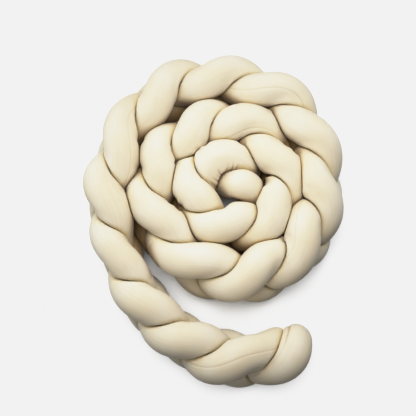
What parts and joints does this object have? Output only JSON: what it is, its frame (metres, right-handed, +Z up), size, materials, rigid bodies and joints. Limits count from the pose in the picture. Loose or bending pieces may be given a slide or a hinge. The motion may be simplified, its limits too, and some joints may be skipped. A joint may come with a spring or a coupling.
{
  "type": "braided crib bumper",
  "caption": "Soft crib bumper plaited from stuffed cloth tubes, stood on edge and coiled into a spiral with a loose end.",
  "frame": {"origin": "centre of the bounding box, on the floor the coil stands on", "axes": "+Z up out of the floor, +Y away from the loose end towards the back of the coil, +X to the right"},
  "size_m": [0.5042, 0.6445, 0.1485],
  "materials": {
    "strand_one": "soft cream cloth",
    "strand_two": "soft cream cloth",
    "strand_three": "soft cream cloth"
  },
  "bodies": {
    "root": {"strand_one": "strand_one", "strand_two": "strand_two", "strand_three": "strand_three"}
  },
  "joints": []
}
